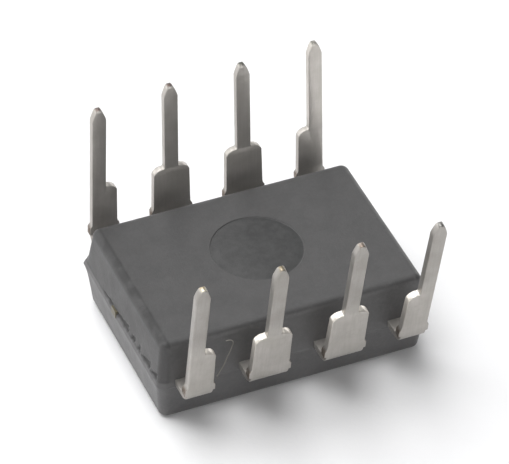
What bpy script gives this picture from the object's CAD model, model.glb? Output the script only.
"""Looks of an eight-lead dual in-line chip that lies on its marking face with its legs up.

Shapes are worked out in millimetres in the CAD frame and scaled to metres when an object is made.
"""

import math

import bmesh
import bpy
import numpy as np
from mathutils import Matrix, Vector, noise
from mathutils.geometry import tessellate_polygon


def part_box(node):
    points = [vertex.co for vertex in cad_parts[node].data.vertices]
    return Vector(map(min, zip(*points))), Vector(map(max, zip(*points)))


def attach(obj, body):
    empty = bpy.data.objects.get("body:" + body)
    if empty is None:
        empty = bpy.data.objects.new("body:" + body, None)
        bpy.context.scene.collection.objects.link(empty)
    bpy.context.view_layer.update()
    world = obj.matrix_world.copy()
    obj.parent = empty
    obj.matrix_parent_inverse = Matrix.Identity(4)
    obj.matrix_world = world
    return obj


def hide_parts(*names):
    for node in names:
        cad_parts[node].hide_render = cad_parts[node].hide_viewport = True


MM = 0.001

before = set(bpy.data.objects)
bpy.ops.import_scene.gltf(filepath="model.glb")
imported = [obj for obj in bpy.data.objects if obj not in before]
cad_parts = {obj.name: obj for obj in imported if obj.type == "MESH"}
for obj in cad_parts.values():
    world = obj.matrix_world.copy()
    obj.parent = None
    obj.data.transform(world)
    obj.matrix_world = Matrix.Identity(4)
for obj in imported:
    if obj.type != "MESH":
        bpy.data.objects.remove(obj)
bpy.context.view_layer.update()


def box_mm(node):
    """A CAD node's lowest and highest corners, in millimetres."""
    low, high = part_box(node)
    return low / MM, high / MM


# --- Sizes, in millimetres ------------------------------------------------

BODY_HIGH = box_mm("molded_body")[1]
PADDLE_LOW, PADDLE_HIGH = box_mm("die_paddle")

FLASH = 0.025                          # ridge of flash at the parting plane
BODY_HALF_X = BODY_HIGH.x - FLASH      # at the parting plane
BODY_HALF_Y = BODY_HIGH.y - FLASH
BODY_TOP = BODY_HIGH.z
PARTING = PADDLE_LOW.z
DRAFT = math.tan(math.radians(7))
CORNER_RADIUS = 0.27
EDGE_RADIUS = 0.25

STRIP = PADDLE_HIGH.z - PADDLE_LOW.z   # thickness of the lead frame
BEND_INNER = 0.2
BEND_OUTER = BEND_INNER + STRIP
BEND_MIDDLE = BEND_INNER + STRIP / 2
LEAD_REACH = 4.1
BEND_START = LEAD_REACH - BEND_OUTER
PITCH = 2.54
WIDE_HALF = 0.64
PIN_HALF = 0.236
SHOULDER_RISE = 1.92
TIP_RISE = 5.17
TAPER = 0.42
TIP_HALF = 0.09
SHOULDER_RADIUS = 0.33
ROOT_RADIUS = 0.06
DAM_STUB = 0.07                        # how far a dam bar's stub stands out
DAM_HEIGHT = 0.36
DAM_SQUARE = 0.7                       # share of that height where the stub is at full width
BEND_LAP = 0.02                        # how far a leg's sides start before the end of its bend
TAPER_BULGE = 0.014
FACE_ROLL = 0.035                      # edge radius on the punched face
BURR_ROLL = 0.014                      # and on the other
PIN_CLEAR = 2.6                        # from here a leg is plain pin
LEG_CUTS = (0.5, 1.0, SHOULDER_RISE, PIN_CLEAR, 3.4, 4.1)
TIP_CUTS = (1, 0.6, 0.3, 0.1)          # as shares of TIP_ROUND
LEAD_SHARP = 50                        # edges sharper than this many degrees are not smoothed
NEAR_SPLAY = (10.4, 10.6, 9.9, 10.1)
FAR_SPLAY = (-1.3, 2.4, 4.1, 6.2)
NEAR_LEAN = (-1.2, -1.2, 0.1, 0.9)
FAR_LEAN = (-0.2, -0.2, -0.3, 0.2)

PADDLE_EDGE_X = 1.7 + 0.3
PADDLE_EDGE_Y = 1.1 + 0.3
FINGER_NECK = 2.3
FINGER_NEAR_TIE = 0.8
FINGER_WIDTH = 0.6
MIDDLE_FINGER_X = 1.17
MIDDLE_FINGER_HALF = 0.45
LOCK_HOLE_RADIUS = 0.23
LOCK_HOLE_Y = 2.62

TIP_ROUND = 0.1                        # length of the part of a tip that is rounded off
# Colours of a tip's sheared end by lead, at its outer and at its inner side
TIP_TARNISH = {
    1: ((0.26, 0.26, 0.25), (0.24, 0.24, 0.23)), 2: ((0.30, 0.245, 0.20), (0.25, 0.19, 0.15)),
    3: ((0.42, 0.36, 0.27), (0.22, 0.18, 0.11)), 4: ((0.97, 0.93, 0.76), (0.36, 0.27, 0.14)),
    5: ((0.15, 0.12, 0.11), (0.19, 0.145, 0.13)), 6: ((0.10, 0.075, 0.065), (0.14, 0.10, 0.085)),
    7: ((0.085, 0.085, 0.07), (0.09, 0.09, 0.075)), 8: ((0.10, 0.105, 0.085), (0.12, 0.12, 0.10)),
}
DAM_TARNISH = (0.13, 0.09, 0.06)
# How bright the plating of each pin is beside that of its wide part
PIN_SHADE = {1: 0.86, 2: 0.82, 3: 0.82, 4: 0.80, 5: 1.02, 6: 1.02, 7: 0.98, 8: 1.35}

EAR_RISE = 0.42                        # how far the corner's flash runs up and down the wall
FLASH_TOP = PARTING + 0.19             # top of the band of flash along the -X end
# Pits over that band: where each starts and ends in Y, and how high it gets
PITS = ((1.45, 0.74, 0.13), (0.44, -0.54, 0.25), (-0.84, -1.05, 0.24), (-1.36, -1.53, 0.28),
        (-1.78, -2.32, 0.27), (-2.46, -2.86, 0.23))

EJECTOR_RADIUS = 1.5
EJECTOR_CENTRE = (0.1, 0.17)
NOTCH_RADIUS = 0.75
NOTCH_DEPTH = 0.9

BAND_PROUD = 0.018                     # most that the band of flash stands out of the -X end
PIT_DEPTH = 0.05
FLASH_HALF = 0.022                     # the ridge of flash is down to a third this far above and below
WAVER = 0.004                          # unevenness of the walls
EDGE_STEPS = 9
BODY_SHARP = 35
FLAT_NORMAL = 0.99999                  # faces more level than this are shaded flat

# The camera's aim and distance are in millimetres, and its angles in degrees
CAMERA_AIM = (0.32, 0.90, 3.05)
CAMERA_AZIMUTH, CAMERA_ELEVATION, CAMERA_ROLL = -24.39, 41.48, 1.77
CAMERA_DISTANCE = 125.3
CAMERA_SENSOR = 36
CAMERA_LENS = 279.8

VEIL = 0.02
WORLD_COLOUR = (0.95, 0.97, 1.0, 1)
WORLD_STRENGTH = 0.05
FLOOR_HALF = 0.6                       # metres
TENT_RADIUS = 0.35                     # metres, as are the panels' sizes
# Ring: elevation, panel width, panel height and {azimuth: radiance}
TENT = {
    "low": (12, 0.25, 0.12, {0: 3.2, 90: 0.4, 135: 2.9, 180: 0.9, 225: 3.5, 270: 1.6, 315: 1.7}),
    "middle": (38, 0.21, 0.16, {0: 0.7, 180: 2.4, 225: 2.5}),
    "upper": (58, 0.14, 0.12, {143: 0.4, 180: 2.5, 240: 2.9}),
    "overhead": (79, 0.25, 0.25, {235: 4.4}),
}

# The fibre's middle line from its hooked upper end down to the side of lead 4
FIBRE_PATH = ((-2.40, -3.20, 2.83), (-2.27, -3.25, 2.87), (-2.18, -3.28, 2.78), (-2.25, -3.30, 2.54),
              (-2.37, -3.30, 2.24), (-2.48, -3.30, 1.95), (-2.62, -3.33, 1.74), (-2.76, -3.40, 1.62))
FIBRE_RADIUS = 0.018
FIBRE_SIDES = 6
FIBRE_STEPS = 6                        # between two points of the path
FIBRE_END = 0.35                       # share of the radius left at both ends

LEADS = range(1, 9)
INNER_NODES = ["die_paddle", "die_attach", "silicon_die"] + [f"bond_wire_{n}" for n in LEADS]


# --- Camera, floor and light ----------------------------------------------

def turn_frame(azimuth, elevation):
    """Right, up and forward for a view from that azimuth (0 looks along +Y) and elevation."""
    a, e = math.radians(azimuth), math.radians(elevation)
    forward = Vector((math.sin(-a) * math.cos(e), math.cos(a) * math.cos(e), -math.sin(e)))
    right = Vector((math.cos(a), math.sin(a), 0))
    return right, right.cross(forward), forward


def make_camera():
    aim = Vector(CAMERA_AIM) * MM
    distance = CAMERA_DISTANCE * MM
    roll = math.radians(CAMERA_ROLL)
    right, up, forward = turn_frame(CAMERA_AZIMUTH, CAMERA_ELEVATION)
    tilted_right = right * math.cos(roll) + up * math.sin(roll)
    tilted_up = up * math.cos(roll) - right * math.sin(roll)
    data = bpy.data.cameras.new("camera")
    data.sensor_width = CAMERA_SENSOR
    data.lens = CAMERA_LENS
    data.clip_start = 0.005
    data.clip_end = 20
    camera = bpy.data.objects.new("camera", data)
    bpy.context.scene.collection.objects.link(camera)
    axes = Matrix((tilted_right, tilted_up, -forward)).transposed().to_4x4()
    camera.matrix_world = Matrix.Translation(aim - forward * distance) @ axes
    bpy.context.scene.camera = camera


def soft_panel(name, azimuth, elevation, width, height, radiance):
    """A matte lit panel at TENT_RADIUS that faces the chip from that direction."""
    right, up, forward = turn_frame(azimuth, elevation)
    data = bpy.data.lights.new(name, "AREA")
    data.shape = "RECTANGLE"
    data.size, data.size_y = width, height
    data.energy = math.pi * width * height * radiance
    light = bpy.data.objects.new(name, data)
    bpy.context.scene.collection.objects.link(light)
    axes = Matrix((right, up, -forward)).transposed().to_4x4()
    light.matrix_world = Matrix.Translation(-forward * TENT_RADIUS) @ axes


def make_lights():
    """Soft panels on a dome: a low ring, fewer panels above it, and a large one nearly overhead."""
    world = bpy.data.worlds.new("world")
    bpy.context.scene.world = world
    world.use_nodes = True
    background = world.node_tree.nodes["Background"]
    background.inputs["Color"].default_value = WORLD_COLOUR
    background.inputs["Strength"].default_value = WORLD_STRENGTH
    for ring, (elevation, width, height, radiances) in TENT.items():
        for azimuth, radiance in radiances.items():
            soft_panel(f"{ring}_{azimuth}", azimuth, elevation, width, height, radiance)


def make_floor(material):
    half = FLOOR_HALF
    corners = [(-half, -half, 0), (half, -half, 0), (half, half, 0), (-half, half, 0)]
    mesh = bpy.data.meshes.new("floor")
    mesh.from_pydata(corners, [], [(0, 1, 2, 3)])
    mesh.materials.append(material)
    floor = bpy.data.objects.new("floor", mesh)
    bpy.context.scene.collection.objects.link(floor)


# --- Material helpers -----------------------------------------------------

class Nodes:
    """A material's node tree, with short ways to add what the materials here need."""

    def __init__(self, name, base, roughness, metallic=0.0):
        self.material = bpy.data.materials.new(name)
        self.material.use_nodes = True
        self.tree = self.material.node_tree
        self.shader = self.tree.nodes["Principled BSDF"]
        self.set("Base Color", (*base, 1))
        self.set("Roughness", roughness)
        self.set("Metallic", metallic)
        self.material.diffuse_color = (*base, 1)

    def set(self, socket, value):
        self.shader.inputs[socket].default_value = value

    def feed(self, socket, output):
        self.tree.links.new(output, self.shader.inputs[socket])

    def add(self, kind, **inputs):
        node = self.tree.nodes.new(kind)
        for name, value in inputs.items():
            self.plug(node.inputs[name.replace("_", " ")], value)
        return node

    def plug(self, socket, value):
        if isinstance(value, bpy.types.NodeSocket):
            self.tree.links.new(value, socket)
        else:
            socket.default_value = value

    def place(self):
        """Position in the row frame, in millimetres."""
        coords = self.tree.nodes.new("ShaderNodeTexCoord")
        return self.scaled(coords.outputs["Object"], (1 / MM, 1 / MM, 1 / MM))

    def attribute(self, name, output):
        node = self.tree.nodes.new("ShaderNodeAttribute")
        node.attribute_name = name
        return node.outputs[output]

    def strip(self):
        """Place on the flat lead strip, in millimetres: across, along, and an offset for each lead."""
        return self.attribute("strip", "Vector")

    def mask(self, name):
        return self.attribute(name, "Fac")

    def colour(self, name):
        return self.attribute(name, "Color")

    def scaled(self, vector, scale):
        node = self.tree.nodes.new("ShaderNodeMapping")
        node.inputs["Scale"].default_value = scale
        self.tree.links.new(vector, node.inputs["Vector"])
        return node.outputs["Vector"]

    def noise(self, vector, scale, detail=3.0, rough=0.55, warp=0.0):
        node = self.add("ShaderNodeTexNoise", Vector=vector, Scale=scale, Detail=detail,
                        Roughness=rough, Distortion=warp)
        return node.outputs["Fac"]

    def cells(self, vector, scale):
        node = self.add("ShaderNodeTexVoronoi", Vector=vector, Scale=scale)
        return node.outputs["Distance"]

    def remap(self, value, low, high, to_low=0.0, to_high=1.0):
        node = self.tree.nodes.new("ShaderNodeMapRange")
        node.interpolation_type = "SMOOTHSTEP"
        names = ("Value", "From Min", "From Max", "To Min", "To Max")
        for name, part in zip(names, (value, low, high, to_low, to_high)):
            self.plug(node.inputs[name], part)
        return node.outputs["Result"]

    def math(self, operation, a, b=0.0):
        node = self.tree.nodes.new("ShaderNodeMath")
        node.operation = operation
        self.plug(node.inputs[0], a)
        self.plug(node.inputs[1], b)
        return node.outputs["Value"]

    def mix(self, factor, a, b, blend="MIX"):
        node = self.tree.nodes.new("ShaderNodeMix")
        node.data_type = "RGBA"
        node.blend_type = blend
        for index, value in ((0, factor), (6, a), (7, b)):
            self.plug(node.inputs[index], (*value, 1) if isinstance(value, tuple) else value)
        return node.outputs[2]

    def distance_to(self, vector, point):
        """Distance in millimetres from a point on the plan, and height is left out."""
        flat = self.scaled(vector, (1, 1, 0))
        node = self.tree.nodes.new("ShaderNodeVectorMath")
        node.operation = "DISTANCE"
        self.plug(node.inputs[0], flat)
        node.inputs[1].default_value = (*point, 0)
        return node.outputs["Value"]

    def axis(self, vector, name):
        node = self.add("ShaderNodeSeparateXYZ", Vector=vector)
        return node.outputs[name]

    def bump(self, height, depth_mm, strength=1.0, normal=None):
        node = self.add("ShaderNodeBump", Height=height, Strength=strength, Distance=depth_mm * MM)
        if normal is not None:
            self.plug(node.inputs["Normal"], normal)
        return node.outputs["Normal"]


# --- Materials ------------------------------------------------------------

def lint_material():
    m = Nodes("lint", (0.20, 0.185, 0.16), 0.6)
    place = m.place()
    m.feed("Base Color", m.mix(m.noise(place, 5.0, 2.0), (0.13, 0.12, 0.105), (0.20, 0.19, 0.165)))
    m.set("Transmission Weight", 0.2)
    return m.material


def paper_material():
    m = Nodes("paper", (0.86, 0.86, 0.87), 0.85)
    place = m.place()
    tone = m.noise(place, 0.25, 2.0)
    m.feed("Base Color", m.mix(tone, (0.855, 0.855, 0.865), (0.875, 0.875, 0.88)))
    m.feed("Normal", m.bump(m.noise(place, 6.0, 4.0), 0.01, 0.5))
    return m.material


def epoxy_material():
    m = Nodes("molding_epoxy", (0.06, 0.058, 0.058), 0.5)
    place = m.place()
    blotches = m.noise(place, 0.7, 3.0, 0.6)
    grain = m.noise(place, 9.0, 4.0, 0.7)
    specks = m.remap(m.cells(place, 16.0), 0.0, 0.22, 1.0, 0.0)
    base = m.mix(m.remap(blotches, 0.3, 0.7), (0.025, 0.024, 0.025), (0.037, 0.035, 0.035))
    base = m.mix(m.remap(grain, 0.35, 0.7, 0.0, 0.55), base, (0.054, 0.052, 0.052))
    height = m.axis(place, "Z")
    underside = m.remap(height, BODY_TOP - 0.12, BODY_TOP - 0.06)
    base = m.mix(m.math("MULTIPLY", underside, 0.4), base, (0, 0, 0))
    base = m.mix(m.math("MULTIPLY", specks, 0.18), base, (0.10, 0.10, 0.095))
    # Stain in the ejector mark, heavier towards +X
    ring = m.distance_to(place, EJECTOR_CENTRE)
    inside = m.remap(ring, EJECTOR_RADIUS - 0.06, EJECTOR_RADIUS + 0.02, 1.0, 0.0)
    above = m.remap(height, BODY_TOP - 0.2, BODY_TOP - 0.12)
    side = m.remap(m.axis(place, "X"), -1.0, 1.2, 0.6, 0.85)
    mottle = m.remap(m.noise(place, 3.0, 4.0, 0.65), 0.3, 0.7, 0.72, 1.0)
    stain = m.math("MULTIPLY", m.math("MULTIPLY", inside, above), m.math("MULTIPLY", side, mottle))
    base = m.mix(m.math("MULTIPLY", stain, 0.95), base, (0.016, 0.017, 0.017))
    # Crushed, darker epoxy where the flash broke away
    torn = m.mask("torn")
    base = m.mix(m.math("MULTIPLY", torn, 0.5), base, (0.017, 0.017, 0.016))
    # Scuffs along the rounded edges
    worn = m.math("MULTIPLY", m.mask("edge"), m.remap(m.noise(place, 3.2, 5.0, 0.7), 0.48, 0.72))
    base = m.mix(m.math("MULTIPLY", worn, 0.35), base, (0.11, 0.105, 0.105))
    # Paler flash and scrapes on the -X end
    at_end = m.remap(m.axis(place, "X"), -BODY_HALF_X + 0.5, -BODY_HALF_X + 0.3)
    band = m.remap(height, FLASH_TOP + 0.03, FLASH_TOP - 0.03, 0.0, 1.0)
    upper_end = m.math("MULTIPLY", at_end, m.math("SUBTRACT", 1.0, band))
    base = m.mix(m.math("MULTIPLY", m.math("MULTIPLY", at_end, band), 0.4), base, (0.052, 0.050, 0.051))
    base = m.mix(m.math("MULTIPLY", upper_end, 0.3), base, (0, 0, 0))
    scrapes = m.remap(m.noise(m.scaled(place, (1, 8, 1.3)), 1.0, 3.0), 0.5, 0.68)
    scraped = m.math("MULTIPLY", m.remap(height, FLASH_TOP + 0.5, FLASH_TOP + 0.1, 0.0, 1.0),
                     m.remap(m.axis(place, "Y"), -0.4, -0.7, 0.0, 1.0))
    scraped = m.math("MULTIPLY", m.math("MULTIPLY", at_end, scraped), scrapes)
    base = m.mix(m.math("MULTIPLY", scraped, 0.4), base, (0.075, 0.073, 0.073))
    # Grime along the rounded edge over that end
    edge_x = BODY_HALF_X - (BODY_TOP - PARTING) * DRAFT
    start_x = EDGE_RADIUS - edge_x
    over_end = m.remap(m.axis(place, "X"), start_x + 0.12, start_x - 0.04, 0.0, 1.0)
    along = m.math("MULTIPLY", over_end, m.remap(height, BODY_TOP - EDGE_RADIUS - 0.08, BODY_TOP - 0.05))
    patches = m.remap(m.noise(place, 1.7, 4.0, 0.6), 0.3, 0.6, 0.4, 0.75)
    grime = m.math("MULTIPLY", along, patches)
    base = m.mix(m.math("MULTIPLY", grime, 0.6), base, (0.016, 0.016, 0.016))
    m.feed("Base Color", base)
    faces = m.math("MAXIMUM", m.math("MULTIPLY", upper_end, 0.5), m.math("MULTIPLY", underside, 0.3))
    dull = m.math("MAXIMUM", m.math("MAXIMUM", stain, torn), m.math("MAXIMUM", grime, faces))
    m.feed("Specular IOR Level", m.remap(dull, 0.0, 1.0, 0.8, 0.25))
    m.feed("Roughness", m.remap(m.noise(place, 1.6, 4.0, 0.6), 0.3, 0.7, 0.5, 0.62))
    m.set("Sheen Weight", 0.12)
    m.set("Sheen Roughness", 0.4)
    fine = m.bump(m.noise(place, 14.0, 3.0, 0.6), 0.012, 0.55)
    m.feed("Normal", m.bump(blotches, 0.02, 0.4, fine))
    return m.material


def tin_material():
    m = Nodes("matte_tin", (0.5, 0.48, 0.45), 0.45, 0.78)
    strip = m.strip()
    streaks = m.noise(m.scaled(strip, (14, 0.9, 1)), 1.0, 4.0, 0.6)
    clouds = m.noise(strip, 1.5, 3.0, 0.6)
    grain = m.noise(strip, 26.0, 3.0, 0.6)
    base = m.mix(m.remap(clouds, 0.3, 0.7), (0.385, 0.365, 0.335), (0.45, 0.425, 0.4))
    base = m.mix(m.remap(streaks, 0.35, 0.75, 0.0, 0.5), base, (0.34, 0.325, 0.295))
    smudge = m.remap(m.noise(strip, 3.3, 4.0, 0.7, 0.4), 0.58, 0.8, 0.0, 0.45)
    base = m.mix(smudge, base, (0.30, 0.29, 0.24))
    base = m.mix(1.0, base, m.colour("shade"), "MULTIPLY")
    # Bare copper alloy at sheared ends, brown with age
    patchy = m.remap(m.noise(strip, 7.0, 3.0), 0.25, 0.6, 0.55, 1.0)
    bare = m.math("MULTIPLY", m.math("MAXIMUM", m.mask("bare"), 0.0), patchy)
    burnished = m.math("MAXIMUM", m.math("MULTIPLY", m.mask("bare"), -0.6), 0.0)
    base = m.mix(burnished, base, (0.84, 0.79, 0.71))
    copper = m.mix(m.noise(strip, 12.0, 3.0), m.colour("tarnish"), (0.55, 0.53, 0.5), "MULTIPLY")
    m.feed("Base Color", m.mix(bare, base, copper))
    m.feed("Roughness", m.remap(grain, 0.3, 0.7, 0.34, 0.46))
    scratches = m.bump(streaks, 0.006, 0.5)
    m.feed("Normal", m.bump(m.noise(strip, 9.0, 4.0, 0.6), 0.006, 0.5, scratches))
    return m.material


def copper_material():
    m = Nodes("bare_copper", (0.55, 0.3, 0.17), 0.38, 1.0)
    place = m.place()
    rolled = m.noise(m.scaled(place, (1.5, 18, 18)), 1.0, 3.0)
    tarnish = m.remap(m.noise(place, 2.2, 4.0, 0.65), 0.35, 0.7)
    base = m.mix(tarnish, (0.50, 0.31, 0.18), (0.33, 0.21, 0.12))
    # Silver spot where the die sits
    spot = m.remap(m.distance_to(place, (0, 0)), 1.25, 1.35, 1.0, 0.0)
    base = m.mix(spot, base, (0.74, 0.73, 0.70))
    base = m.mix(m.remap(rolled, 0.3, 0.7, 0.0, 0.3), base, (0.28, 0.17, 0.09))
    # The tie bars' sheared ends stand in the open and are dull and smeared with epoxy
    outside = m.remap(m.math("ABSOLUTE", m.axis(place, "X")), BODY_HALF_X - 0.3, BODY_HALF_X - 0.2)
    m.feed("Base Color", m.mix(outside, base, (0.10, 0.085, 0.045)))
    m.feed("Metallic", m.remap(outside, 0.0, 1.0, 1.0, 0.2))
    m.feed("Roughness", m.remap(rolled, 0.3, 0.7, 0.3, 0.46))
    m.feed("Normal", m.bump(rolled, 0.004, 0.4))
    return m.material


def adhesive_material():
    m = Nodes("silver_adhesive", (0.5, 0.49, 0.46), 0.5, 0.6)
    place = m.place()
    flakes = m.cells(place, 22.0)
    m.feed("Base Color", m.mix(m.remap(flakes, 0.1, 0.6), (0.62, 0.61, 0.58), (0.36, 0.35, 0.33)))
    m.feed("Roughness", m.remap(flakes, 0.1, 0.6, 0.35, 0.65))
    m.feed("Normal", m.bump(flakes, 0.006, 0.5))
    return m.material


def silicon_material():
    m = Nodes("silicon", (0.14, 0.15, 0.19), 0.18, 0.4)
    place = m.place()
    blocks = m.tree.nodes.new("ShaderNodeTexBrick")
    m.plug(blocks.inputs["Vector"], place)
    blocks.inputs["Scale"].default_value = 6.0
    blocks.inputs["Color1"].default_value = (0.12, 0.14, 0.20, 1)
    blocks.inputs["Color2"].default_value = (0.24, 0.20, 0.22, 1)
    blocks.inputs["Mortar"].default_value = (0.45, 0.43, 0.40, 1)
    film = m.noise(place, 2.5, 2.0)
    tint = m.remap(film, 0.35, 0.65, 0.1, 0.5)
    m.feed("Base Color", m.mix(tint, blocks.outputs["Color"], (0.10, 0.16, 0.18)))
    m.feed("Roughness", m.remap(film, 0.3, 0.7, 0.14, 0.26))
    return m.material


def gold_material():
    m = Nodes("gold", (0.9, 0.66, 0.26), 0.25, 1.0)
    place = m.place()
    drawn = m.noise(place, 30.0, 3.0)
    m.feed("Base Color", m.mix(drawn, (0.93, 0.70, 0.30), (0.80, 0.56, 0.20)))
    m.feed("Roughness", m.remap(drawn, 0.3, 0.7, 0.2, 0.34))
    return m.material


# --- Mesh helpers ---------------------------------------------------------

def arc(cx, cy, radius, start, end, steps):
    """Points on an arc, angles in degrees, both ends included."""
    angles = [math.radians(start + (end - start) * i / steps) for i in range(steps + 1)]
    return [(cx + radius * math.cos(a), cy + radius * math.sin(a)) for a in angles]


def smoothstep(low, high, value):
    t = min(1.0, max(0.0, (value - low) / (high - low)))
    return t * t * (3 - 2 * t)


def make_object(name, mesh, material):
    """Scales a mesh from millimetres to metres and makes its object."""
    mesh.transform(Matrix.Scale(MM, 4))
    mesh.materials.clear()
    mesh.materials.append(material)
    piece = bpy.data.objects.new(name, mesh)
    bpy.context.scene.collection.objects.link(piece)
    return piece


def add_mask(mesh, name, values):
    layer = mesh.attributes.new(name, "FLOAT", "POINT")
    layer.data.foreach_set("value", np.asarray(values, np.float32))


# --- Leads ----------------------------------------------------------------

def lead_slot(n):
    """Place in the row, counted from -X."""
    return 4 - n if n <= 4 else n - 5


def lead_side(n):
    return -1 if n <= 4 else 1


def lead_x(n):
    return (lead_slot(n) - 1.5) * PITCH


def lead_lean(n):
    """How far the leg goes towards +X for each millimetre along it."""
    return math.tan(math.radians((NEAR_LEAN if lead_side(n) < 0 else FAR_LEAN)[lead_slot(n)]))


def leg_side(half, steps):
    """One side of a leg's flat outline, from the bend to the tip: (out, along, bare).

    Bare is 1 where copper shows and -1 where the sheared edge is burnished bright.
    """
    points = [(half + DAM_STUB, -BEND_LAP, 1), (half + DAM_STUB, DAM_HEIGHT * DAM_SQUARE, 1),
              (half, DAM_HEIGHT, 0)]
    if half > PIN_HALF:
        shoulder = arc(half - SHOULDER_RADIUS, SHOULDER_RISE - SHOULDER_RADIUS, SHOULDER_RADIUS, 0, 90, steps)
        root = arc(PIN_HALF + ROOT_RADIUS, SHOULDER_RISE + ROOT_RADIUS, ROOT_RADIUS, 270, 180, steps // 2)
        points += [(u, v, -1) for u, v in shoulder[steps // 4:] + root[:steps // 4]]
        points += [(u, v, 0) for u, v in root[steps // 4:]]
    # The taper starts round and runs straight to the cut end
    taper_steps = 6
    for i in range(taper_steps + 1):
        t = i / taper_steps
        bulge = TAPER_BULGE * math.sin(math.pi * t) * (1 - t)
        points.append((PIN_HALF + (TIP_HALF - PIN_HALF) * t + bulge, TIP_RISE - TAPER * (1 - t),
                       smoothstep(0.9, 1.0, t)))
    return points


def finger_points(n):
    """Outline of the flat finger in the first quadrant, from the bend inward and back: (x, y)."""
    if lead_slot(n) in (1, 2):
        x = PITCH / 2
        return [(x + WIDE_HALF, BEND_START), (x + WIDE_HALF, FINGER_NECK),
                (MIDDLE_FINGER_X + MIDDLE_FINGER_HALF, PADDLE_EDGE_Y),
                (MIDDLE_FINGER_X - MIDDLE_FINGER_HALF, PADDLE_EDGE_Y),
                (x - WIDE_HALF, FINGER_NECK), (x - WIDE_HALF, BEND_START)]
    x = 1.5 * PITCH
    return [(x + PIN_HALF, BEND_START), (x + PIN_HALF, FINGER_NECK - FINGER_WIDTH),
            (PADDLE_EDGE_X + FINGER_WIDTH, FINGER_NEAR_TIE), (PADDLE_EDGE_X, FINGER_NEAR_TIE),
            (PADDLE_EDGE_X, FINGER_NECK - 1.1), (x - WIDE_HALF, FINGER_NECK), (x - WIDE_HALF, BEND_START)]


def blank_outline(n, bend_length):
    """The lead's flat blank, anticlockwise, and its locking hole: lists of (across, along, bare)."""
    left = PIN_HALF if lead_slot(n) == 0 else WIDE_HALF
    right = PIN_HALF if lead_slot(n) == 3 else WIDE_HALF
    lean = lead_lean(n)
    mirrored = -1 if lead_x(n) < 0 else 1

    def leaned(u, v, bare):
        burnished = bare < 0 and lead_side(n) < 0
        return (u + max(0.0, v) * lean, v, bare if burnished else max(0, bare))

    def blank(x, y):
        return (mirrored * x - lead_x(n), -bend_length - (BEND_START - y), 0)

    finger = [blank(x, y) for x, y in finger_points(n)]
    if mirrored < 0:
        finger.reverse()
    finger.reverse()                   # now from the left of the bend, inward and back to its right
    rising = [leaned(*p) for p in leg_side(right, 8)]
    falling = [leaned(-u, v, bare) for u, v, bare in reversed(leg_side(left, 8))]
    hole_x = abs(lead_x(n)) - (WIDE_HALF / 3 if lead_slot(n) in (0, 3) else 0)
    hole = [blank(x, y) for x, y in arc(hole_x, LOCK_HOLE_Y, LOCK_HOLE_RADIUS, 0, 345, 23)]
    sides = [(right, -BEND_LAP, 0.6), (-left, -BEND_LAP, 0.6)]
    return finger + sides[:1] + rising + falling + sides[1:], hole


def inset_loop(loop, amount):
    """A closed loop moved inward (to its left) by amount, mitred."""
    points = [Vector(p[:2]) for p in loop]
    count = len(points)
    moved = []
    for i, p in enumerate(points):
        before = (p - points[i - 1]).normalized()
        after = (points[(i + 1) % count] - p).normalized()
        left_before, left_after = Vector((-before.y, before.x)), Vector((-after.y, after.x))
        middle = (left_before + left_after).normalized()
        moved.append(p + middle * (amount / max(0.5, middle.dot(left_before))))
    return moved


def doubled_area(loop):
    """Twice the area inside a closed loop, positive when it runs anticlockwise."""
    return sum(loop[i - 1][0] * p[1] - p[0] * loop[i - 1][1] for i, p in enumerate(loop))


def blank_mesh(n, bend_length):
    """The flat blank as a bmesh with rolled edges. Its height is the depth from the outer face."""
    outline, hole = blank_outline(n, bend_length)
    if doubled_area(outline) < 0:
        outline.reverse()
    if doubled_area(hole) > 0:
        hole.reverse()
    rings = [(FACE_ROLL * (1 - math.sin(a)), FACE_ROLL * (1 - math.cos(a)))
             for a in (0, math.pi / 6, math.pi / 3, math.pi / 2)]
    rings += [(BURR_ROLL * (1 - math.sin(a)), STRIP - BURR_ROLL * (1 - math.cos(a)))
              for a in (math.pi / 2, math.pi / 4, 0)]
    work = bmesh.new()
    bare = work.verts.layers.float.new("bare")
    ends = {0: [], len(rings) - 1: []}
    for loop in (outline, hole):
        grid = []
        for k, (amount, depth) in enumerate(rings):
            row = []
            for source, p in zip(loop, inset_loop(loop, amount)):
                vert = work.verts.new((p.x, p.y, depth))
                vert[bare] = source[2] if 1 < k < len(rings) - 2 else 0
                row.append(vert)
            grid.append(row)
            if k in ends:
                ends[k].append(row)
        count = len(loop)
        for lower, upper in zip(grid, grid[1:]):
            for i in range(count):
                j = (i + 1) % count
                work.faces.new((lower[i], upper[i], upper[j], lower[j]))
    for k, loops in ends.items():
        flat = [v for row in loops for v in row]
        for a, b, c in tessellate_polygon([[v.co for v in row] for row in loops]):
            corner = (flat[a], flat[b], flat[c])
            try:
                work.faces.new(corner)
            except ValueError:
                continue
    bmesh.ops.recalc_face_normals(work, faces=work.faces[:])
    cuts = [-bend_length * i / 10 for i in range(11)] + list(LEG_CUTS)
    cuts += [TIP_RISE - TIP_ROUND * part for part in TIP_CUTS]
    for v in cuts:
        every = work.verts[:] + work.edges[:] + work.faces[:]
        bmesh.ops.bisect_plane(work, geom=every, dist=1e-6, plane_co=(0, v, 0), plane_no=(0, 1, 0))
    return work


def round_tip(work, lean):
    """Rounds the sheared end of a flat blank, most along its edges."""
    for vert in work.verts:
        past = (vert.co.y - TIP_RISE + TIP_ROUND) / TIP_ROUND
        if past > 0:
            off_middle = 2 * vert.co.z / STRIP - 1
            centre = vert.co.y * lean
            vert.co.x = centre + (vert.co.x - centre) * (1 - past ** 2 * (0.15 + 0.3 * off_middle ** 2))
            vert.co.z = STRIP / 2 * (1 + off_middle * (1 - 0.25 * past ** 2))


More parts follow.
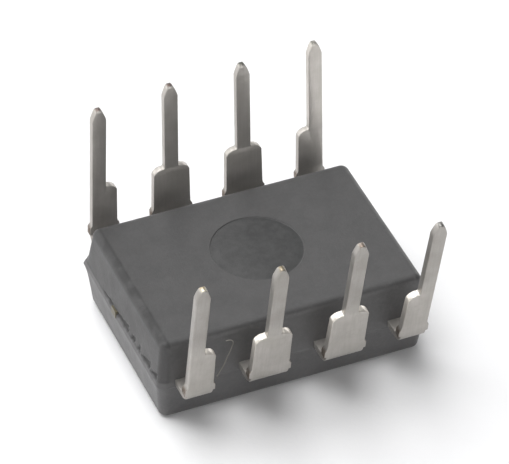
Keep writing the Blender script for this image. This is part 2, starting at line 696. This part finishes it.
def tarnish(n, p):
    """Colour of bare metal at a point of the flat blank: the dam bar's stubs, or the tip's sheared end."""
    if p.y < 1:
        return (*DAM_TARNISH, 1)
    outer, inner = TIP_TARNISH[n]
    share = smoothstep(0.35, 0.6, p.z / STRIP)
    return (*(a + (b - a) * share for a, b in zip(outer, inner)), 1)


def form_point(n, splay, bend_length, p):
    """Where a point of the flat blank goes once the lead is bent."""
    radius = BEND_OUTER - p.z
    if p.y >= 0:
        angle = splay
        out = BEND_START + radius * math.cos(angle) + p.y * math.sin(angle)
        z = -radius * math.sin(angle) + p.y * math.cos(angle)
    elif p.y > -bend_length:
        angle = splay - p.y / BEND_MIDDLE
        out = BEND_START + radius * math.cos(angle)
        z = -radius * math.sin(angle)
    else:
        out = BEND_START + p.y + bend_length
        z = -radius
    return Vector((lead_x(n) + p.x, lead_side(n) * out, PARTING + BEND_OUTER + z))


def make_lead(n):
    """The mesh of a formed lead, in millimetres."""
    splay = math.radians((NEAR_SPLAY if lead_side(n) < 0 else FAR_SPLAY)[lead_slot(n)])
    bend_length = (math.pi / 2 - splay) * BEND_MIDDLE
    work = blank_mesh(n, bend_length)
    round_tip(work, lead_lean(n))
    strip = [(v.co.x, v.co.y, n * 7.3 + v.co.z) for v in work.verts]
    colours = [tarnish(n, v.co) for v in work.verts]
    shades = [1 + (PIN_SHADE[n] - 1) * smoothstep(SHOULDER_RISE, PIN_CLEAR, v.co.y) for v in work.verts]
    for vert in work.verts:
        vert.co = form_point(n, splay, bend_length, vert.co)
    bmesh.ops.recalc_face_normals(work, faces=work.faces[:])
    mesh = bpy.data.meshes.new(f"lead_{n}_formed")
    work.to_mesh(mesh)
    work.free()
    layer = mesh.attributes.new("strip", "FLOAT_VECTOR", "POINT")
    layer.data.foreach_set("vector", np.asarray(strip, np.float32).ravel())
    add_mask(mesh, "shade", shades)
    layer = mesh.attributes.new("tarnish", "FLOAT_COLOR", "POINT")
    layer.data.foreach_set("color", np.asarray(colours, np.float32).ravel())
    mesh.shade_smooth()
    mesh.set_sharp_from_angle(angle=math.radians(LEAD_SHARP))
    return mesh


# --- Body -----------------------------------------------------------------

def ring_points(half_x, half_y, radius):
    """Points around a rectangle with rounded corners, always the same number of them."""
    corner_steps, long_steps, short_steps = 12, 130, 170
    cx, cy = half_x - radius, half_y - radius
    points = []
    for quarter, steps in enumerate((long_steps, short_steps, long_steps, short_steps)):
        sx = 1 if quarter in (0, 3) else -1
        sy = 1 if quarter < 2 else -1
        turn = arc(sx * cx, sy * cy, radius, 90 * quarter, 90 * (quarter + 1), corner_steps)
        next_sx = 1 if (quarter + 1) % 4 in (0, 3) else -1
        next_sy = 1 if (quarter + 1) % 4 < 2 else -1
        step_x, step_y = (next_sx - sx) * cx / steps, (next_sy - sy) * cy / steps
        end = turn[-1]
        run = [(end[0] + step_x * i, end[1] + step_y * i) for i in range(1, steps)]
        points += turn + run
    return points


def body_levels():
    """(height, inset, corner radius, share of edge rounding) from the marking face to the underside."""
    def edge(face, up):
        start = face - up * EDGE_RADIUS
        wall = abs(start - PARTING) * DRAFT
        rows = []
        for i in range(EDGE_STEPS + 1):
            a = math.pi / 2 * i / EDGE_STEPS
            round_in = EDGE_RADIUS * (1 - math.cos(a))
            rows.append((start + up * EDGE_RADIUS * math.sin(a), wall + round_in, CORNER_RADIUS - round_in,
                         math.sin(2 * a)))
        return rows

    # Levels are closest together over the flash and its pits
    heights = set(np.round(np.linspace(EDGE_RADIUS, PARTING - 0.16, 12)[1:], 4))
    heights |= set(np.round(np.linspace(PARTING - 0.14, PARTING + 0.5, 33), 4))
    heights |= set(np.round(np.linspace(PARTING + 0.55, BODY_TOP - EDGE_RADIUS, 10)[:-1], 4))
    walls = [(float(z), abs(z - PARTING) * DRAFT, CORNER_RADIUS, 0.0) for z in sorted(heights)]
    return edge(0.0, -1)[::-1] + walls + edge(BODY_TOP, 1)


def flash_ear(x, y, z):
    """How far flash fills the far -X corner at this height, from 0 (rounded) to 1 (square)."""
    if x > 0 or y < 0:
        return 0.0
    return max(0.0, 1 - abs(z - PARTING) / EAR_RISE) ** 0.8


def torn_depth(y, z):
    """How torn the -X end wall is, from 0 to 1: broken flash leaves wedge-shaped pits over its band."""
    soft = 0.07
    up = z - FLASH_TOP + 0.05 * noise.noise(Vector((y * 6, z * 5, 2.0)))
    deepest = 0.0
    for start, end, rise in PITS:
        along = (start - y + 0.09 * noise.noise(Vector((y * 5, z * 9, 6.0)))) / (start - end)
        if -0.3 < along < 1.3:
            tall = rise * (0.3 + 0.7 * min(1.0, max(0.0, along)))
            fade = soft / (start - end)
            sides = smoothstep(-fade, fade, along) * smoothstep(1.0 + fade, 1.0 - fade / 2, along)
            below_rim = smoothstep(tall + soft, tall - soft, up)
            deepest = max(deepest, sides * below_rim * smoothstep(-0.05, 0.0, up))
    return deepest


def wall_relief(x, y, z):
    """How far the wall stands out at a point, and how torn it is there."""
    torn = 0.0
    if x < -BODY_HALF_X + 0.3:
        torn = torn_depth(y, z)
        band = smoothstep(PARTING - 0.3, PARTING, z) * smoothstep(FLASH_TOP + 0.03, FLASH_TOP - 0.03, z)
        uneven = 0.7 + 0.3 * noise.noise(Vector((y * 3.1, z * 2.0, 8.0)))
        out = BAND_PROUD * band * uneven - PIT_DEPTH * torn
    else:
        ragged = 0.5 + 0.5 * noise.noise(Vector((x * 2.3, y * 2.3, 4.0)))
        out = FLASH * math.exp(-(((z - PARTING) / FLASH_HALF) ** 2)) * (0.35 + 0.65 * ragged)
    waver = WAVER * noise.noise(Vector((x * 0.9, y * 0.9, z * 1.4)))
    return min(out, FLASH) + min(waver, 0.0), torn


def body_shell():
    """The moulded outside as a closed mesh, before anything is cut out of it."""
    verts, torn, edge = [], [], []
    levels = body_levels()
    for z, inset, radius, rounding in levels:
        ring = ring_points(BODY_HALF_X - inset, BODY_HALF_Y - inset, radius)
        for x, y in ring:
            out, tear = (0.0, 0.0) if rounding > 0 or z in (0.0, BODY_TOP) else wall_relief(x, y, z)
            corner_x = max(0.0, abs(x) - (BODY_HALF_X - inset - CORNER_RADIUS))
            corner_y = max(0.0, abs(y) - (BODY_HALF_Y - inset - CORNER_RADIUS))
            away = Vector((math.copysign(corner_x, x), math.copysign(corner_y, y), 0))
            if away.length > 0:
                reach = away.length
                away.normalize()
                square = reach / max(abs(away.x), abs(away.y))
                out += (square - reach) * flash_ear(x, y, z)
            verts.append((x + away.x * out, y + away.y * out, z))
            torn.append(tear)
            edge.append(rounding)
    count = len(verts) // len(levels)
    faces = [tuple(range(count))[::-1], tuple(range(len(verts) - count, len(verts)))]
    for k in range(len(levels) - 1):
        for i in range(count):
            j = (i + 1) % count
            faces.append((k * count + i, k * count + j, (k + 1) * count + j, (k + 1) * count + i))
    mesh = bpy.data.meshes.new("molded_body_shell")
    mesh.from_pydata(verts, [], faces)
    add_mask(mesh, "torn", torn)
    add_mask(mesh, "edge", edge)
    return mesh


def lathe(profile, steps, centre):
    """A closed solid turned about an upright axis from (radius, height) points; both ends are on the axis."""
    verts, faces, rows = [], [], []
    for radius, z in profile:
        if radius == 0:
            rows.append([len(verts)])
            verts.append((centre[0], centre[1], z))
        else:
            rows.append(list(range(len(verts), len(verts) + steps)))
            verts += [(centre[0] + radius * math.cos(2 * math.pi * i / steps),
                       centre[1] + radius * math.sin(2 * math.pi * i / steps), z) for i in range(steps)]
    for lower, upper in zip(rows, rows[1:]):
        for i in range(steps):
            j = (i + 1) % steps
            corner = [lower[i % len(lower)], lower[j % len(lower)],
                      upper[j % len(upper)], upper[i % len(upper)]]
            faces.append(tuple(dict.fromkeys(corner)))
    mesh = bpy.data.meshes.new("tool")
    mesh.from_pydata(verts, [], faces)
    return mesh


def ejector_tool():
    """What the ejector pin pressed out of the underside: a shallow dish with a fine groove around it."""
    r, top = EJECTOR_RADIUS, BODY_TOP
    return lathe([(0, top - 0.012), (r - 0.3, top - 0.016), (r - 0.05, top - 0.026), (r - 0.02, top - 0.03),
                  (r - 0.008, top - 0.026), (r + 0.01, top + 0.004), (r + 0.01, top + 0.3), (0, top + 0.3)],
                 128, EJECTOR_CENTRE)


def notch_tool():
    """What makes the index notch: an upright cylinder, half inside the +X end, softened at its top."""
    r, deep = NOTCH_RADIUS, NOTCH_DEPTH
    return lathe([(0, -0.3), (r, -0.3), (r, deep - 0.08), (r - 0.02, deep - 0.02),
                  (r - 0.08, deep), (0, deep)], 64, (BODY_HALF_X, 0))


def cad_copy(node):
    """A copy of a CAD node's mesh, in millimetres."""
    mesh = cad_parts[node].data.copy()
    mesh.transform(Matrix.Scale(1 / MM, 4))
    work = bmesh.new()
    work.from_mesh(mesh)
    bmesh.ops.remove_doubles(work, verts=work.verts[:], dist=1e-6)
    work.to_mesh(mesh)
    work.free()
    return mesh


def cut_from(mesh, tools):
    """The mesh with each tool mesh taken out of it."""
    scene = bpy.context.scene
    target = bpy.data.objects.new("cutting", mesh)
    scene.collection.objects.link(target)
    helpers = []
    for tool in tools:
        helper = bpy.data.objects.new("cutter", tool)
        scene.collection.objects.link(helper)
        helpers.append(helper)
        modifier = target.modifiers.new("cut", "BOOLEAN")
        modifier.operation = "DIFFERENCE"
        modifier.solver = "MANIFOLD"
        modifier.object = helper
    graph = bpy.context.evaluated_depsgraph_get()
    result = bpy.data.meshes.new_from_object(target.evaluated_get(graph))
    for helper in (target, *helpers):
        bpy.data.objects.remove(helper)
    return result


def make_body(lead_meshes, material):
    tools = [ejector_tool(), notch_tool()] + [m.copy() for m in lead_meshes]
    tools += [cad_copy(node) for node in INNER_NODES]
    mesh = cut_from(body_shell(), tools)
    mesh.name = "molded_body_finished"
    mesh.shade_smooth()
    mesh.set_sharp_from_angle(angle=math.radians(BODY_SHARP))
    for face in mesh.polygons:
        if abs(face.normal.z) > FLAT_NORMAL:
            face.use_smooth = False
    body = make_object("molded_body_finished", mesh, material)
    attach(body, "root")
    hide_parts("molded_body")


# --- Lint -----------------------------------------------------------------

def make_fibre(material):
    """A stray fibre that leans on the near wall between leads 4 and 3, hooked at its upper end."""
    path = [Vector(p) for p in FIBRE_PATH]
    sides = FIBRE_SIDES
    verts, faces, fine = [], [], []
    for i in range(len(path) - 1):
        before, after = path[max(0, i - 1)], path[min(len(path) - 1, i + 2)]
        start, end = path[i], path[i + 1]
        for step in range(FIBRE_STEPS):
            t = step / FIBRE_STEPS
            square = (2 * before - 5 * start + 4 * end - after) * t * t
            cube = (3 * start - before - 3 * end + after) * t ** 3
            fine.append(0.5 * (2 * start + (end - before) * t + square + cube))
    fine.append(path[-1])
    side = Vector((0, 1, 0))
    for i, point in enumerate(fine):
        along = (fine[min(i + 1, len(fine) - 1)] - fine[max(i - 1, 0)]).normalized()
        across = along.cross(side).normalized()
        other = across.cross(along)
        thin = FIBRE_RADIUS * (FIBRE_END if i in (0, len(fine) - 1) else 1)
        for k in range(sides):
            a = 2 * math.pi * k / sides
            verts.append(point + across * (thin * math.cos(a)) + other * (thin * math.sin(a)))
    for i in range(len(fine) - 1):
        for k in range(sides):
            j = (k + 1) % sides
            faces.append((i * sides + k, i * sides + j, (i + 1) * sides + j, (i + 1) * sides + k))
    faces.append(tuple(range(sides))[::-1])
    faces.append(tuple(range(len(verts) - sides, len(verts))))
    mesh = bpy.data.meshes.new("lint_fibre")
    mesh.from_pydata(verts, [], faces)
    work = bmesh.new()
    work.from_mesh(mesh)
    bmesh.ops.recalc_face_normals(work, faces=work.faces[:])
    work.to_mesh(mesh)
    work.free()
    mesh.shade_smooth()
    fibre = make_object("lint_fibre", mesh, material)
    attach(fibre, "root")


# --- The whole ------------------------------------------------------------

def finish_inner(node, material):
    """A sealed CAD node keeps its shape and gets its own material."""
    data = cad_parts[node].data
    data.materials.clear()
    data.materials.append(material)


def main():
    scene = bpy.context.scene
    scene.view_settings.view_transform = "Standard"
    # The over-bright paper veils the dark parts a little, as it does in any lens
    scene.view_settings.use_curve_mapping = True
    scene.view_settings.curve_mapping.black_level = (-VEIL, -VEIL, -VEIL)
    make_camera()
    make_lights()
    make_floor(paper_material())
    tin = tin_material()
    lead_meshes = [make_lead(n) for n in LEADS]
    make_body(lead_meshes, epoxy_material())
    for n, mesh in zip(LEADS, lead_meshes):
        piece = make_object(f"lead_{n}_formed", mesh, tin)
        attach(piece, "root")
        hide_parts(f"lead_{n}")
    finish_inner("die_paddle", copper_material())
    finish_inner("die_attach", adhesive_material())
    finish_inner("silicon_die", silicon_material())
    make_fibre(lint_material())
    gold = gold_material()
    for n in LEADS:
        finish_inner(f"bond_wire_{n}", gold)


main()
